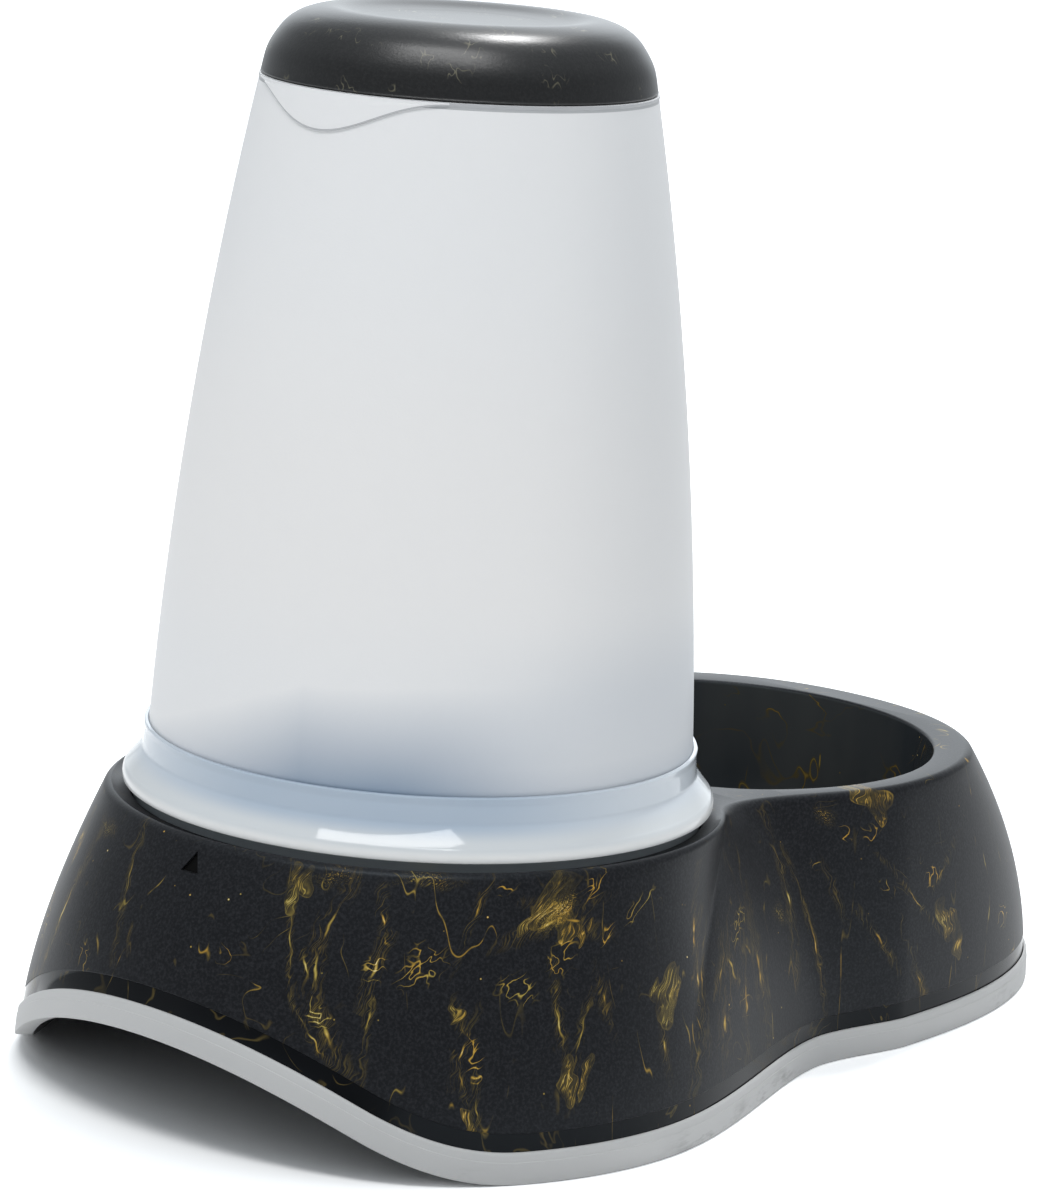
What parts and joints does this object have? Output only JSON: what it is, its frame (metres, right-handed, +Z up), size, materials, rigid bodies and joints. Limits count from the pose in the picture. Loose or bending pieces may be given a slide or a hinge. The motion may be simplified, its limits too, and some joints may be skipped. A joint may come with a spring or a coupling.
{
  "type": "gravity pet water dispenser",
  "caption": "Bottle with a lid, standing upside down on a figure-eight base with a round drinking bowl, that refills the bowl through a spring valve in its screw cap.",
  "frame": {"origin": "centre of the outline, on the floor", "axes": "+Z up, the bowl at -Y, the bottle at +Y, mirror plane X = 0"},
  "size_m": [0.1994, 0.3472, 0.2868],
  "materials": {
    "base_plastic": "satin black with gold-olive marbling",
    "ring_rubber": "matt light grey, a little smudged",
    "frosted_plastic": "frosted translucent",
    "clear_plastic": "glossy, clear with a grey tint",
    "seal_rubber": "matt dark silicone",
    "lid_plastic": "satin black with faint pale wisps",
    "cap_plastic": "satin dark grey",
    "natural_plastic": "natural white",
    "spring_steel": "drawn stainless wire"
  },
  "bodies": {
    "base": {"base_shell": "base_plastic", "foot_ring": "ring_rubber"},
    "bottle": {"tank_body": "frosted_plastic", "tank_foot": "clear_plastic", "tank_seal": "seal_rubber"},
    "lid": {"lid": "lid_plastic"},
    "cap": {"valve_cap": "cap_plastic", "cap_gasket": "seal_rubber", "valve_guide": "natural_plastic", "valve_spring": "spring_steel"},
    "plunger": {"valve_plunger": "natural_plastic", "plunger_seal": "seal_rubber"}
  },
  "joints": [
    {"name": "tank_lift", "type": "slide", "parent": "base", "child": "bottle", "axis": [0, 0, 1], "range_m": [0, 0.06]},
    {"name": "lid_lift", "type": "slide", "parent": "bottle", "child": "lid", "axis": [0, 0, 1], "range_m": [0, 0.03]},
    {"name": "cap_turn", "type": "hinge", "parent": "bottle", "child": "cap", "pos_m": [0, 0.0683, 0.05], "axis": [0, 0, 1], "range_deg": [0, 540]},
    {"name": "plunger_slide", "type": "slide", "parent": "cap", "child": "plunger", "axis": [0, 0, -1], "range_m": [0, 0.004], "deforming": ["valve_spring"]}
  ],
  "couplings": [
    {"joint": "plunger_slide", "follows": "tank_lift", "ratio": 0.066}
  ]
}
